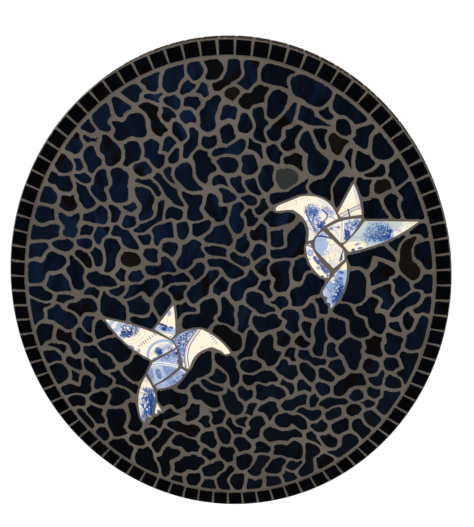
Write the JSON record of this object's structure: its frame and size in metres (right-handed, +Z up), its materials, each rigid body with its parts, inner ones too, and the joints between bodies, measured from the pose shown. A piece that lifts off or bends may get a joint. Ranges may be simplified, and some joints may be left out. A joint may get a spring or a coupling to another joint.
{
  "type": "mosaic panel",
  "caption": "Oval wall mosaic: two small birds of blue-and-white china in a field of irregular navy glass, with a border and an edge of square black tiles on a wooden board.",
  "frame": {"origin": "centre of the flat back face of the board, where it lies on the wall", "axes": "+Z up along the oval's long axis, +Y into the wall, -Y out of the mosaic's face, +X to the right seen from the front"},
  "size_m": [0.64, 0.0263, 0.72],
  "materials": {
    "board": "bare birch plywood with a bare layered edge",
    "black_glass": "opaque black glass tile, glossy",
    "navy_glass": "opaque dark navy glass with soft lighter streaks, glossy",
    "china": "glazed ivory china with cobalt blue transfer ornament",
    "grout": "sanded grey-brown cement grout, matt"
  },
  "bodies": {
    "root": {"backing_board": "board", "edge_tiles": "black_glass", "border_tiles": "black_glass", "field_glass": "navy_glass", "right_bird_head": "china", "right_bird_back_wing": "china", "right_bird_shoulder": "china", "right_bird_body": "china", "right_bird_wing": "china", "right_bird_belly": "china", "right_bird_tail": "china", "left_bird_head": "china", "left_bird_back_wing": "china", "left_bird_wing": "china", "left_bird_body": "china", "left_bird_belly": "china", "left_bird_tail": "china", "left_bird_tail_chip": "china"}
  },
  "joints": []
}
